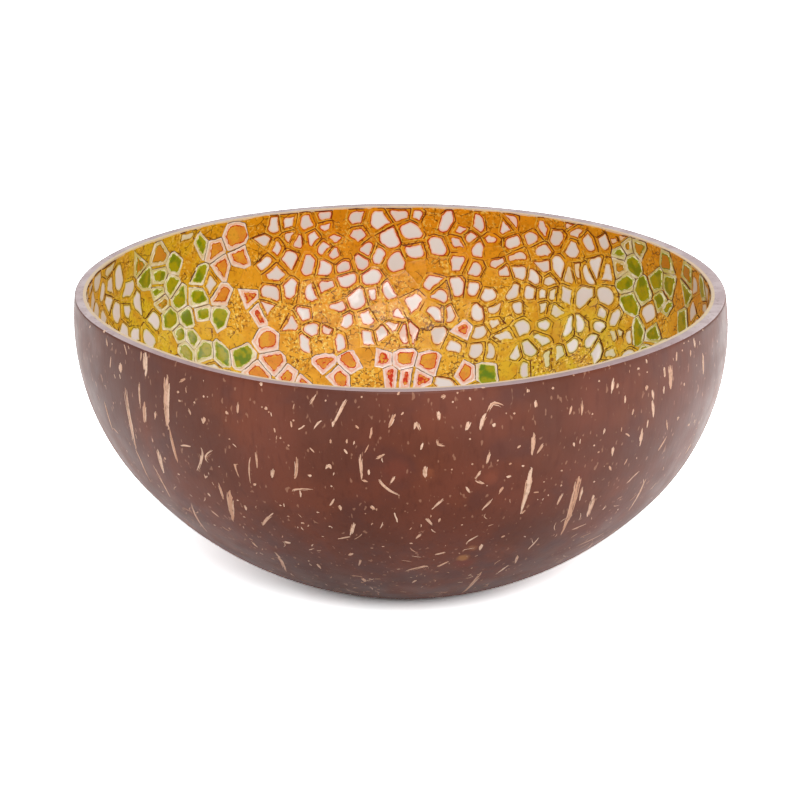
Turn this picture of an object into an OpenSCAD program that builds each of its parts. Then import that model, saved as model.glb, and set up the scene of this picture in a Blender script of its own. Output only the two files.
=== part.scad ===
// Coconut shell bowl lined with crushed eggshell mosaic.
// Half a coconut shell stands on a sanded flat, with its mouth sawn level. Its inside carries a dark
// ground lacquer, a coat of gold lacquer and small chips of eggshell laid in it, some of them
// cup side up with green or orange lacquer pooled in the cup.
// The origin is the middle of the foot, +Z is up, and -Y is the side that faces the viewer.

/* [Shell] */
// Widest outside diameter, a little below the rim
shell_d = 135; // [124:1:148]
// Height from the foot to the sawn rim
bowl_h = 61; // [59:0.5:66]
// How far the widest level lies below the rim
rim_drop = 6.6; // [4:0.2:8]
// Height of the side arc's lowest point above the pole, were the arc carried on down: more height
// makes the underside flatter
belly_rise = 8.9; // [7:0.1:12]
// Depth sanded off the round underside to make the foot
sanded_depth = 2.5; // [1.5:0.1:3.5]
// Shell thickness at the widest level
wall_side = 2; // [1.6:0.1:3]
// Shell thickness left in the middle of the foot
wall_foot = 3.2; // [2.5:0.1:4]
// How much the wall swells from the widest level down towards the underside
wall_swell = 1.5; // [0.8:0.1:2]
// Width of the bevel sanded on the rim's outer edge
rim_bevel = 0.5; // [0.2:0.1:0.8]

/* [Lacquer] */
// Thickness of the dark lacquer that levels the shell's inside
ground_t = 0.3; // [0.2:0.05:0.6]
// Thickness of the gold lacquer coat
gold_t = 0.2; // [0.1:0.05:0.4]
// Thickness of the gold lacquer filled in where no chip lies
fill_t = 0.24; // [0.15:0.01:0.3]
// Depth of a lacquer pool in a cupped chip
pool_depth = 0.16; // [0.08:0.02:0.2]

/* [Chips] */
// Thickness of an eggshell chip
chip_t = 0.32; // [0.25:0.01:0.45]
// Average spacing of the chips
chip_pitch = 4.9; // [4.5:0.1:8]
// Width of the crack between two chips of one fragment
crack_w = 0.25; // [0.15:0.05:0.5]
// Width of the lacquer street between two fragments
street_w = 0.7; // [0.4:0.1:1.2]
// Width of the bare border round a lacquer pool
cup_border = 0.8; // [0.5:0.1:1]
// Strip of gold lacquer left between the chips and the rim
rim_strip = 0.3; // [0.1:0.1:1]

/* [Hidden] */

$fn = 240;

// Heights of the bands that the white chips are sorted into, as shares of the bowl's height
band_shares = [0, 0.2, 0.4, 0.6, 0.8, 1];

// Outside profile: a bottom arc centred on the axis runs smoothly into the side arc
widest_r = shell_d / 2;
widest_h = bowl_h - rim_drop;
side_r = widest_h + sanded_depth - belly_rise;
side_x = widest_r - side_r;
bottom_r = side_r + arc_gain(side_x, belly_rise);
bottom_h = bottom_r - sanded_depth;

// Cavity profile, built the same way on the inside of the wall
cavity_side_r = side_r - wall_side - wall_swell;
cavity_x = side_x + wall_swell;
cavity_bottom_r = cavity_side_r + arc_gain(cavity_x, widest_h - cavity_side_r - wall_foot);
cavity_bottom_h = cavity_bottom_r + wall_foot;
cavity_join = atan2(widest_h - cavity_bottom_h, cavity_x);

// Face of the gold lacquer, on which the chips lie
bed_inset = ground_t + gold_t;
bed_side_r = cavity_side_r - bed_inset;
bed_bottom_r = cavity_bottom_r - bed_inset;
bed_foot_h = wall_foot + bed_inset;
bed_join_h = widest_h + bed_side_r * sin(cavity_join);

// Overrun of the cutting shapes
overrun = 1;

// Shares of the chip spacing: the furthest that a chip reaches, the clear space round a chip laid
// by hand, the shortest side of a chip, and the smallest chip that is kept
reach_share = 0.8;
clear_share = 0.78;
side_share = 0.08;
smallest_share = 0.3;
// Share of neighbouring pairs with a street between them, and of loose cells left as plain gold
street_share = 0.3;
plain_share = 0.2;
// Largest stray of a loose chip from its regular place, as a share of the spacing
stray_share = 0.3;
// Clearance under the corners of a chip that rests on the hollow bed
seat_gap = 0.01;
// Turn from one loose chip to the next along the spiral
golden_angle = 137.508;

// The laid chips: the bearing from +X in degrees, and the height in 61 equal courses that share
// the bowl's height from foot to rim. Large white chips come first.
course_count = 61;
large_white_shares = [
    [165.2, 55.5], [160, 48.5], [157.6, 55.5], [154, 43], [151, 48.3], [150, 41], [115.4, 58.3],
    [115.5, 47.5], [114.9, 53], [113.5, 36], [112.8, 43.2], [112, 50.8], [111, 32], [109.5, 38],
    [108.6, 58], [108.5, 48.6], [108.5, 41.8], [107.3, 54.3], [104.8, 43.2], [104.3, 56.6],
    [103.5, 39], [103.2, 32.3], [101.3, 35], [100.5, 44.3], [99, 59], [98.4, 54.1], [98.2, 40.5],
    [97.6, 48.6], [97.3, 32.3], [96.4, 36], [95.3, 44.6], [94, 57.3], [91, 37.4], [90.8, 48],
    [87.7, 55.2], [87.6, 39.5], [86.8, 50.5], [83.1, 44.3], [82.4, 36.8], [82, 51.4], [82, 32.8],
    [80.5, 57.5], [78.5, 37], [78.1, 48.7], [78, 42.8], [77.3, 31], [75, 42.8], [74.4, 52],
    [74, 57.8], [73.7, 37.5], [72.6, 33.7], [71.2, 41.7], [68.6, 46.6], [67.4, 53.7], [67, 33.7],
    [65.2, 39.5], [63.3, 36.4], [61, 53], [60.6, 28.5], [60, 31.7], [57.7, 37.2], [57.4, 57],
    [56.6, 49.8], [55, 43.8], [53.6, 54.2], [52.9, 36.8], [52.8, 31.5], [50.2, 44.3], [49.8, 56.9],
    [49, 38.2], [46.2, 58.2], [46, 35.6], [45.3, 51.2], [44.5, 45.6], [43.8, 34.8], [41, 41.7]
];
small_white_shares = [
    [170, 52.5], [169, 58], [166, 50], [162.5, 52.5], [161.5, 55], [157.5, 44.5], [155, 47.3],
    [153.8, 52.5], [146.7, 43.5], [136.2, 59.5], [117.8, 39.7], [117.4, 54.6], [117.2, 50.5],
    [116.4, 43.1], [112.5, 58.8], [112, 55], [110.6, 54], [108.4, 34.3], [105.8, 33.8], [104.8, 52],
    [104.7, 59.8], [104.5, 47.3], [103, 54.2], [103, 50.3], [101, 47.6], [96.3, 51], [95, 41.3],
    [94.2, 50.2], [93, 33], [92.6, 41.5], [92.2, 53.5], [91.6, 34], [89.5, 60.3], [89, 32.5],
    [86.8, 32.8], [85.6, 59.4], [81, 41.8], [78.2, 53], [77.7, 56], [76.2, 54], [74.6, 47.3],
    [72, 30.4], [71.4, 54], [70.6, 49], [69.5, 38.8], [69, 36.5], [69, 30.5], [68.8, 57.4],
    [66.8, 59.5], [66.3, 42.8], [66, 50.8], [65.5, 47.7], [63.7, 30], [62.6, 43.3], [62.5, 56],
    [61.8, 47], [60.6, 58], [60.3, 49.3], [60, 43.3], [59.3, 40.6], [58.8, 46.6], [58.3, 34],
    [57.6, 43.7], [56.3, 40.2], [55.4, 30.6], [54, 49.2], [53.8, 60.8], [52.8, 59.5], [52.6, 49.7],
    [50.3, 50], [49.8, 34], [48.2, 51.8], [45.6, 39.8], [45.4, 41.8], [43, 59.3], [41.3, 60.3],
    [40.3, 38], [39.8, 35.2], [38.8, 39.3], [37, 39.3], [5.5, 59]
];
green_shares = [
    [147.5, 52.5], [144, 49], [143.6, 52], [142.3, 42.5], [140.5, 49.3], [140.5, 38.3],
    [140.3, 35.8], [138.7, 54], [138.6, 46.4], [137.7, 37.3], [137.2, 41.5], [135.4, 34],
    [133.8, 45.5], [133.8, 41.5], [132.8, 49.8], [132, 56.3], [131.8, 32.6], [129, 39.8],
    [126.5, 31.5], [69, 26.6], [41.8, 56.8], [40, 50.8], [38.6, 54.5], [37.9, 45.8], [35, 49.5],
    [34.2, 41], [30.6, 53.2], [29.3, 42], [28.5, 49], [26.5, 47.5], [26.4, 53.4], [19.5, 53.8],
    [19.5, 47.7], [9, 57.5]
];
orange_shares = [
    [149.5, 57.2], [143.5, 46.8], [143.3, 57.2], [129, 55.5], [127.6, 45], [127, 50], [124, 57.2],
    [122.9, 51.7], [122.3, 43], [120, 39], [119.3, 33.8], [119, 29.3], [116, 26.5], [113.6, 25],
    [107.4, 27.8], [104.6, 25.2], [100.8, 27.3], [94, 28], [92.3, 24.7], [88.9, 28], [88, 24.3],
    [85.2, 24], [83, 27.3], [76, 34.3], [74.3, 25.8], [41.6, 53], [40.2, 58.5], [35.7, 59],
    [27.2, 58.4], [18.7, 57.7]
];
gold_shares = [
    [153.6, 57.3], [153.3, 45.7], [148.3, 48], [148, 59.3], [144, 37.8], [139.5, 60.3],
    [136.2, 57.3], [135.4, 52.3], [134, 55], [134, 38.7], [129, 59.7], [127.4, 35.7], [126, 38],
    [124.5, 42.5], [124, 48.5], [123.5, 37.5], [121.5, 47], [118.6, 53], [118.3, 59.2], [116, 38],
    [114, 32.4], [113, 28.8], [111.5, 26], [107.8, 31.8], [107, 38], [106.2, 32], [104.3, 36.3],
    [104, 41.2], [102, 59.5], [101.8, 56.5], [100.4, 51.5], [99.6, 32.5], [98.4, 24.5],
    [97.3, 28.5], [95.3, 24.6], [93.7, 37.5], [91.8, 31.7], [89.4, 43.5], [86.2, 46.6],
    [84.8, 32.2], [84.3, 35], [84, 58.6], [83.7, 60.8], [82.6, 47.5], [78, 26.8], [77, 58.5],
    [76.8, 38], [71.4, 45.6], [71.2, 51.5], [70.8, 58], [68.5, 44.5], [67.3, 38.2], [66.3, 30.8],
    [64.3, 59.3], [64, 27.8], [61.7, 39.8], [57.7, 60.6], [57.5, 29.5], [54.6, 37], [50.7, 30.2],
    [47.8, 42], [47.5, 60.4], [47, 32], [43.3, 60.6], [41.6, 36.8], [38.5, 41], [38.2, 37.3],
    [33.2, 57], [31.7, 60.4], [26.8, 45.2], [24, 46], [23.3, 60.5], [22, 52]
];

// What lies in a cell of the mosaic
WHITE = "white";
GREEN = "green";
ORANGE = "orange";
GOLD = "gold";

// How much larger the bottom arc's radius is than the side arc's, so that the two run smoothly into
// each other: offset is the side arc's centre from the axis, and rise is the height of its lowest
// point above the pole
function arc_gain(offset, rise) = (rise * rise + offset * offset) / (2 * rise);

// Slope angle and radius of the gold lacquer's face at a height
function bed_angle(height) = height > bed_join_h
    ? asin((height - widest_h) / bed_side_r)
    : asin((height - cavity_bottom_h) / bed_bottom_r);
function bed_radius(height) = height > bed_join_h
    ? cavity_x + bed_side_r * cos(bed_angle(height))
    : bed_bottom_r * cos(bed_angle(height));

// A cell's seed: its point on the bed, bearing, slope angle and kind
function seed(bearing, height, kind) = [
    [bed_radius(height) * cos(bearing), bed_radius(height) * sin(bearing), height],
    bearing, bed_angle(height), kind
];
function laid(table, kind) = [for (row = table) seed(row[0], row[1] * bowl_h / course_count, kind)];

laid_seeds = concat(
    laid(large_white_shares, WHITE), laid(small_white_shares, WHITE), laid(green_shares, GREEN),
    laid(orange_shares, ORANGE), laid(gold_shares, GOLD)
);

// Loose chips fill the rest along a spiral, with a small stray. Their colours lie in patches.
depth = bowl_h - bed_foot_h;
loose_count = floor(2 * PI * bed_side_r * (1 + cavity_x / bed_side_r) * depth / pow(chip_pitch, 2));
stray_bearing = rands(-stray_share, stray_share, loose_count, 11);
stray_height = rands(-stray_share, stray_share, loose_count, 12);
plain_draw = rands(0, 1, loose_count, 13);

function patch_kind(bearing, level, draw) =
    let (tint = sin(2 * bearing + 150 * level) + 0.7 * cos(5 * bearing - 260 * level))
    draw < plain_share ? GOLD : tint > 1.15 ? GREEN : tint < -1.15 ? ORANGE : WHITE;

function loose(k) =
    let (
        level = (k + 0.5) / loose_count,
        height = min(bowl_h - rim_strip, max(bed_foot_h + rim_strip,
            bed_foot_h + depth * level + stray_height[k] * chip_pitch)),
        bearing = golden_angle * k + stray_bearing[k] * chip_pitch / bed_radius(height) * 180 / PI
    )
    seed(bearing, height, patch_kind(bearing, level, plain_draw[k]));

function is_clear(point) =
    len([for (s = laid_seeds) if (norm(s[0] - point) < clear_share * chip_pitch) 1]) == 0;

seeds = concat(laid_seeds, [for (k = [0 : loose_count - 1]) let (s = loose(k)) if (is_clear(s[0])) s]);

// Directions in the plane of a cell: along the level, and down the slope
function level_way(s) = [-sin(s[1]), cos(s[1]), 0];
function slope_way(s) = [sin(s[2]) * cos(s[1]), sin(s[2]) * sin(s[1]), -cos(s[2])];

// Gap between two neighbouring cells, the same from either side
function gap(i, j) =
    seeds[i][3] == GOLD || seeds[j][3] == GOLD ? crack_w
    : rands(0, 1, 1, min(i, j) * len(seeds) + max(i, j))[0] < street_share ? street_w : crack_w;

// Part of a convex outline on the near side of a line
function trim(outline, way, limit) = [
    for (k = [0 : len(outline) - 1])
        let (
            here = outline[k],
            next = outline[(k + 1) % len(outline)],
            past = here * way - limit,
            next_past = next * way - limit
        )
        each concat(
            past <= 0 ? [here] : [],
            past * next_past < 0 ? [here + (next - here) * past / (past - next_past)] : []
        )
];
function trim_all(outline, cuts, k = 0) =
    k == len(cuts) || len(outline) < 3 ? outline
    : trim_all(trim(outline, cuts[k][0], cuts[k][1]), cuts, k + 1);

// Outline without sides that are too short
function neat(outline) = [
    for (k = [0 : len(outline) - 1])
        if (norm(outline[(k + 1) % len(outline)] - outline[k]) > side_share * chip_pitch) outline[k]
];

// Outline of cell i in its own plane, drawn in by a border: the ground nearer to its seed than to
// any other, less half of each gap, and clear of the rim
function cell(i, border) =
    let (
        s = seeds[i],
        reach = reach_share * chip_pitch - border,
        u = level_way(s),
        v = slope_way(s),
        cuts = concat(
            [[[0, -1], (bowl_h - rim_strip - s[0][2]) / cos(s[2]) - border]],
            [
                for (j = [0 : len(seeds) - 1])
                    let (d = seeds[j][0] - s[0])
                    if (j != i && abs(d[2]) < 2 * reach && norm(d) < 2 * reach)
                        let (flat = [d * u, d * v])
                        [flat / norm(flat), (norm(d) - gap(i, j)) / 2 - border]
            ]
        )
    )
    neat(trim_all([for (k = [0 : 7]) reach * [cos(45 * k), sin(45 * k)]], cuts));

// Twice the area of an outline
function double_area(outline) = len(outline) < 3 ? 0 : abs(sum([
    for (k = [0 : len(outline) - 1])
        let (here = outline[k], next = outline[(k + 1) % len(outline)])
        here[0] * next[1] - here[1] * next[0]
]));
function sum(list, k = 0, total = 0) = k == len(list) ? total : sum(list, k + 1, total + list[k]);
function is_kept(outline) = double_area(outline) > 2 * smallest_share * pow(chip_pitch, 2) / PI;

// How far a flat chip stands off the hollow bed at its middle, so that its corners rest on it
function lift(outline) = seat_gap + pow(max([for (p = outline) norm(p)]), 2) / (2 * bed_side_r);

// A bowl's form, filled solid up to a level top. The side arc, turned round the axis, bounds it
// down to the level where a ball centred on the axis has the same slope, and the ball bounds the rest.
module bowl_form(bottom_radius, bottom_height, side_radius, side_offset, top) {
    meet = atan2(widest_h - bottom_height, side_offset);
    meet_r = side_offset + side_radius * cos(meet);
    floor_h = bottom_height - bottom_radius - overrun;
    rotate_extrude() intersection() {
        translate([0, bottom_height]) circle(bottom_radius);
        translate([0, floor_h]) square([bottom_radius, top - floor_h]);
        union() {
            translate([side_offset, widest_h]) circle(side_radius);
            translate([0, floor_h]) square([meet_r, widest_h - floor_h]);
            translate([0, floor_h]) square([side_offset, 2 * bottom_radius]);
        }
    }
}

// The cavity's form, drawn in by the layers that already line it
module cavity_form(inset, top) {
    bowl_form(cavity_bottom_r - inset, cavity_bottom_h, cavity_side_r - inset, cavity_x, top);
}

// A layer that lines the cavity between two insets, sawn level with the rim
module lining(outer_inset, inner_inset) {
    difference() {
        cavity_form(outer_inset, bowl_h);
        cavity_form(inner_inset, bowl_h + overrun);
    }
}

// A flat piece on the bed over cell i, from a depth above the bed up to a top
module tile(s, outline, from, to) {
    translate(s[0]) rotate([-90 - s[2], 0, s[1] + 90])
        translate([0, 0, from]) linear_extrude(to - from) polygon(outline);
}

// Half of the nut's hard shell: outside polished, mouth sawn level, pole sanded to a flat foot
module coconut_shell() {
    rim_r = side_x + sqrt(pow(side_r, 2) - pow(rim_drop, 2));
    color("saddlebrown") difference() {
        bowl_form(bottom_r, bottom_h, side_r, side_x, bowl_h);
        cavity_form(0, bowl_h + overrun);
        translate([0, 0, -2 * sanded_depth]) cylinder(r = bottom_r, h = 2 * sanded_depth);
        rotate_extrude() polygon([
            [rim_r - rim_bevel, bowl_h], [rim_r + overrun, bowl_h - rim_bevel - overrun],
            [rim_r + overrun, bowl_h + overrun], [rim_r - rim_bevel, bowl_h + overrun]
        ]);
    }
}

// Dark lacquer that levels the fibrous inside of the shell
module ground_lacquer() {
    color("#4a2410") lining(0, ground_t);
}

// Gold lacquer coat in which the chips are laid
module gold_lacquer() {
    color("goldenrod") lining(ground_t, bed_inset);
}

// Thick gold lacquer in the cells that hold no chip
module gold_fill() {
    color("#d8a020") for (i = [0 : len(seeds) - 1]) if (seeds[i][3] == GOLD) {
        outline = cell(i, 0);
        if (is_kept(outline)) tile(seeds[i], outline, lift(outline), lift(outline) + fill_t);
    }
}

// White chips of one band, crown side up
module white_chips(band) {
    low = band_shares[band] * bowl_h;
    high = band_shares[band + 1] * bowl_h;
    color("#efe6dc") for (i = [0 : len(seeds) - 1])
        if (seeds[i][3] == WHITE && seeds[i][0][2] >= low && seeds[i][0][2] < high) {
            outline = cell(i, 0);
            if (is_kept(outline)) tile(seeds[i], outline, lift(outline), lift(outline) + chip_t);
        }
}

// Chips laid cup side up, each with its hollow for a pool
module cup_chips(kind) {
    color("#f4ead2") for (i = [0 : len(seeds) - 1]) if (seeds[i][3] == kind) {
        outline = cell(i, 0);
        hollow = cell(i, cup_border);
        top = lift(outline) + chip_t;
        if (is_kept(outline)) difference() {
            tile(seeds[i], outline, lift(outline), top);
            if (len(hollow) > 2) tile(seeds[i], hollow, top - pool_depth, top + overrun);
        }
    }
}

// Lacquer that fills the hollows of the cupped chips level with their borders
module pools(kind) {
    for (i = [0 : len(seeds) - 1]) if (seeds[i][3] == kind) {
        outline = cell(i, 0);
        hollow = cell(i, cup_border);
        top = lift(outline) + chip_t;
        if (is_kept(outline) && len(hollow) > 2) tile(seeds[i], hollow, top - pool_depth, top);
    }
}

coconut_shell();
ground_lacquer();
gold_lacquer();
gold_fill();
white_chips(0);  // white_chips_base
white_chips(1);  // white_chips_low
white_chips(2);  // white_chips_middle
white_chips(3);  // white_chips_high
white_chips(4);  // white_chips_rim
cup_chips(GREEN);  // green_cup_chips
color("#8fae10") pools(GREEN);  // green_pools
cup_chips(ORANGE);  // orange_cup_chips
color("#e08a28") pools(ORANGE);  // orange_pools
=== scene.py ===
# Coconut shell bowl lined with eggshell mosaic: the looks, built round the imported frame.
# Lengths are in metres. A bearing is counted from +X towards +Y.
import math
import random

import bmesh
import bpy
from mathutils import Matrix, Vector, noise
from mathutils.bvhtree import BVHTree


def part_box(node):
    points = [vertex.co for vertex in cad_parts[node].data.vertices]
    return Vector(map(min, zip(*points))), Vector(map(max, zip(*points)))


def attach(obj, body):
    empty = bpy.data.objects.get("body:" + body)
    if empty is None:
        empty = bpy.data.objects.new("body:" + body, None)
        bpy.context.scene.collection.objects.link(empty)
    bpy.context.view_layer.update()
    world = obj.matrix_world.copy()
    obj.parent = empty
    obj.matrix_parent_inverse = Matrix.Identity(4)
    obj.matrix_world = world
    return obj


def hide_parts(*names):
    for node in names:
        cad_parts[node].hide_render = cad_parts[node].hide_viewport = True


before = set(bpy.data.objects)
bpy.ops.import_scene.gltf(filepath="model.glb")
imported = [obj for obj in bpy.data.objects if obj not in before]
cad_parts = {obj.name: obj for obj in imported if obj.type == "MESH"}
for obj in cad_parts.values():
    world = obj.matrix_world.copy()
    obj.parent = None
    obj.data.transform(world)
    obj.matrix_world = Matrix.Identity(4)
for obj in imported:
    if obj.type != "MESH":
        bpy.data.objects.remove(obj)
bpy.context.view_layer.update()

# Camera. It looks down on the bowl a little from in front, as in the photograph, through a long lens.
# Pixels here and below are those of the photograph's square frame.
PHOTO_SIDE = 800
FOCAL_PIXELS = 3826
FOOT_PIXEL_X = 401
AIM_PIXEL_Y = 430.3
AIM_POINT = Vector((0, 0, 0.030))
VIEW_DISTANCE = 0.8
VIEW_ELEVATION = math.radians(18.6)
SENSOR_WIDTH = 36

camera_data = bpy.data.cameras.new("camera")
camera_data.sensor_width = SENSOR_WIDTH
camera_data.lens = SENSOR_WIDTH * FOCAL_PIXELS / PHOTO_SIDE
camera_data.shift_x = (PHOTO_SIDE / 2 - FOOT_PIXEL_X) / PHOTO_SIDE
camera_data.shift_y = (AIM_PIXEL_Y - PHOTO_SIDE / 2) / PHOTO_SIDE
camera = bpy.data.objects.new("camera", camera_data)
bpy.context.scene.collection.objects.link(camera)
bpy.context.scene.camera = camera
camera.rotation_euler = (math.pi / 2 - VIEW_ELEVATION, 0, 0)
camera_turn = camera.rotation_euler.to_matrix()
camera.location = AIM_POINT + camera_turn @ Vector((0, 0, VIEW_DISTANCE))
camera_place = camera.location.copy()


def pixel_ray(x, y):
    """Direction from the camera through a pixel of the photograph."""
    return (camera_turn @ Vector((x - FOOT_PIXEL_X, AIM_PIXEL_Y - y, -FOCAL_PIXELS))).normalized()


# Floor, daylight and lamps. The floor and the surroundings are white to the camera, and the floor
# keeps the bowl's soft shadow. The lamps are broad, as in a light tent.
def add_node(tree, kind, inputs=None, **settings):
    """Adds a shader node. A value in inputs is a constant or another node's output."""
    made = tree.nodes.new(kind)
    for name, value in settings.items():
        setattr(made, name, value)
    for name, value in (inputs or {}).items():
        if isinstance(value, bpy.types.NodeSocket):
            tree.links.new(value, made.inputs[name])
        else:
            made.inputs[name].default_value = value
    return made


def add_math(tree, operation, first, second=0.0, clamp=False):
    """Adds a sum, product or other calculation and returns its output."""
    made = add_node(tree, "ShaderNodeMath", {0: first, 1: second}, operation=operation, use_clamp=clamp)
    return made.outputs[0]


def plus(tree, first, second, clamp=False):
    """Adds a sum and returns its output."""
    return add_math(tree, "ADD", first, second, clamp)


def minus(tree, first, second):
    """Adds a difference and returns its output."""
    return add_math(tree, "SUBTRACT", first, second)


def times(tree, first, second):
    """Adds a product and returns its output."""
    return add_math(tree, "MULTIPLY", first, second)


def vector_math(tree, operation, inputs, output=0):
    """Adds a calculation with vectors and returns its output."""
    return add_node(tree, "ShaderNodeVectorMath", inputs, operation=operation).outputs[output]


def axis_of(tree, place, axis):
    """One axis of a place."""
    return add_node(tree, "ShaderNodeSeparateXYZ", {0: place}).outputs[axis]


def ramp(tree, value, start, end, low, high, smooth=False):
    """Goes from low to high while a value goes from start to end, and stays level outside them."""
    return add_node(tree, "ShaderNodeMapRange", {
        "Value": value, "From Min": start, "From Max": end, "To Min": low, "To Max": high,
    }, interpolation_type="SMOOTHSTEP" if smooth else "LINEAR").outputs["Result"]


def reflected_share(tree, seen):
    """1 where a surface is seen in a reflection, otherwise 0."""
    return plus(tree, seen.outputs["Is Glossy Ray"], seen.outputs["Is Transmission Ray"], clamp=True)


def new_material(name):
    """A material with its output node, and the place on the object, which patterns stay with."""
    material = bpy.data.materials.new(name)
    material.use_nodes = True
    tree = material.node_tree
    tree.nodes.clear()
    place = add_node(tree, "ShaderNodeTexCoord").outputs["Object"]
    return material, tree, add_node(tree, "ShaderNodeOutputMaterial"), place


def link_piece(name, mesh, *materials):
    """Puts a finished mesh in the scene with its materials."""
    for material in materials:
        mesh.materials.append(material)
    piece = bpy.data.objects.new(name, mesh)
    bpy.context.scene.collection.objects.link(piece)
    return piece


FLOOR_HALF = 3.0
FLOOR_BOUNCE = 0.8
FLOOR_EXPOSURE = 3.9
MIRRORED_MIDDLE = 0.95
MIRRORED_LEFT = 2.5
MIRRORED_RIGHT = 3.2
PAPER_RED = 0.94
PAPER_BLUE = 1.02

floor_material, tree, output, place = new_material("white_floor")
paper = add_node(tree, "ShaderNodeBsdfDiffuse", {"Color": (FLOOR_BOUNCE,) * 3 + (1,)})
bright_paper = add_node(tree, "ShaderNodeBsdfDiffuse", {
    "Color": (FLOOR_EXPOSURE * PAPER_RED, FLOOR_EXPOSURE, FLOOR_EXPOSURE * PAPER_BLUE, 1)
})
floor_side = axis_of(tree, place, "X")
left_walls = ramp(tree, floor_side, -0.02, -0.1, 0.0, MIRRORED_LEFT - MIRRORED_MIDDLE)
right_walls = ramp(tree, floor_side, 0.025, 0.1, 0.0, MIRRORED_RIGHT - MIRRORED_MIDDLE)
walls = plus(tree, plus(tree, left_walls, right_walls), MIRRORED_MIDDLE)
mirrored_white = vector_math(tree, "SCALE", {0: (1, 1, 1), "Scale": walls})
mirrored_paper = add_node(tree, "ShaderNodeBsdfDiffuse", {"Color": mirrored_white})
seen = add_node(tree, "ShaderNodeLightPath")
floor_view = add_node(tree, "ShaderNodeMixShader", {
    0: seen.outputs["Is Camera Ray"], 1: paper.outputs[0], 2: bright_paper.outputs[0]
})
floor_all = add_node(tree, "ShaderNodeMixShader", {
    0: reflected_share(tree, seen), 1: floor_view.outputs[0], 2: mirrored_paper.outputs[0]
})
tree.links.new(floor_all.outputs[0], output.inputs["Surface"])

floor_bm = bmesh.new()
bmesh.ops.create_grid(floor_bm, x_segments=1, y_segments=1, size=FLOOR_HALF)
floor_mesh = bpy.data.meshes.new("floor")
floor_bm.to_mesh(floor_mesh)
floor_bm.free()
floor = link_piece("floor", floor_mesh, floor_material)

DAYLIGHT = 0.42
LEFT_MIRRORED = 0.8
world = bpy.data.worlds.new("daylight")
bpy.context.scene.world = world
world.use_nodes = True
tree = world.node_tree
tree.nodes.clear()
seen = add_node(tree, "ShaderNodeLightPath")
sky_place = add_node(tree, "ShaderNodeTexCoord").outputs["Generated"]
sky_mirrored = ramp(tree, axis_of(tree, sky_place, "X"), -0.6, 0.6, LEFT_MIRRORED, 1.0)
glossy_part = times(tree, reflected_share(tree, seen), minus(tree, sky_mirrored, DAYLIGHT))
camera_part = times(tree, seen.outputs["Is Camera Ray"], 1 - DAYLIGHT)
sky_strength = plus(tree, plus(tree, glossy_part, camera_part), DAYLIGHT)
sky = add_node(tree, "ShaderNodeBackground", {"Color": (1, 1, 1, 1), "Strength": sky_strength})
add_node(tree, "ShaderNodeOutputWorld", {"Surface": sky.outputs[0]})


def add_lamp(name, bearing, elevation, width, height, power):
    """A soft panel lamp that faces the bowl, at a bearing and elevation in degrees."""
    lamp_data = bpy.data.lights.new(name, "AREA")
    lamp_data.shape = "RECTANGLE"
    lamp_data.size = width
    lamp_data.size_y = height
    lamp_data.energy = power
    lamp = bpy.data.objects.new(name, lamp_data)
    bpy.context.scene.collection.objects.link(lamp)
    across, up = math.radians(bearing), math.radians(elevation)
    way = Vector((math.cos(up) * math.cos(across), math.cos(up) * math.sin(across), math.sin(up)))
    lamp.location = AIM_POINT + way * LAMP_DISTANCE
    lamp.rotation_euler = (-way).to_track_quat("-Z", "Y").to_euler()


LAMP_DISTANCE = 1.2
add_lamp("front_panel", -86, 31, 0.55, 0.46, 8.0)
add_lamp("right_strip", -53, 27, 0.10, 0.5, 1.0)
add_lamp("left_panel", 188, 22, 0.3, 0.5, 1.6)
add_lamp("right_panel", 4, 20, 0.3, 0.6, 2.2)

view_settings = bpy.context.scene.view_settings
view_settings.view_transform = "Standard"

# Coconut shell. Half of the nut's hard shell, its mouth sawn level and its pole sanded to a flat foot.
# The outside is scraped clean of husk, sanded and polished to a satin gloss.
RIM_HEIGHT = round(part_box("coconut_shell")[1].z, 4)
WIDEST_RADIUS = 0.0675
WIDEST_HEIGHT = RIM_HEIGHT - 0.0066
BELLY_RISE = 0.0089
SANDED_DEPTH = 0.0025
WALL_SIDE = 0.002
WALL_SWELL = 0.0015
WALL_FOOT = 0.0032
ROUND_STEPS = 256
SAME_POINT = 1e-6
ON_RING = 1e-5


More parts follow.
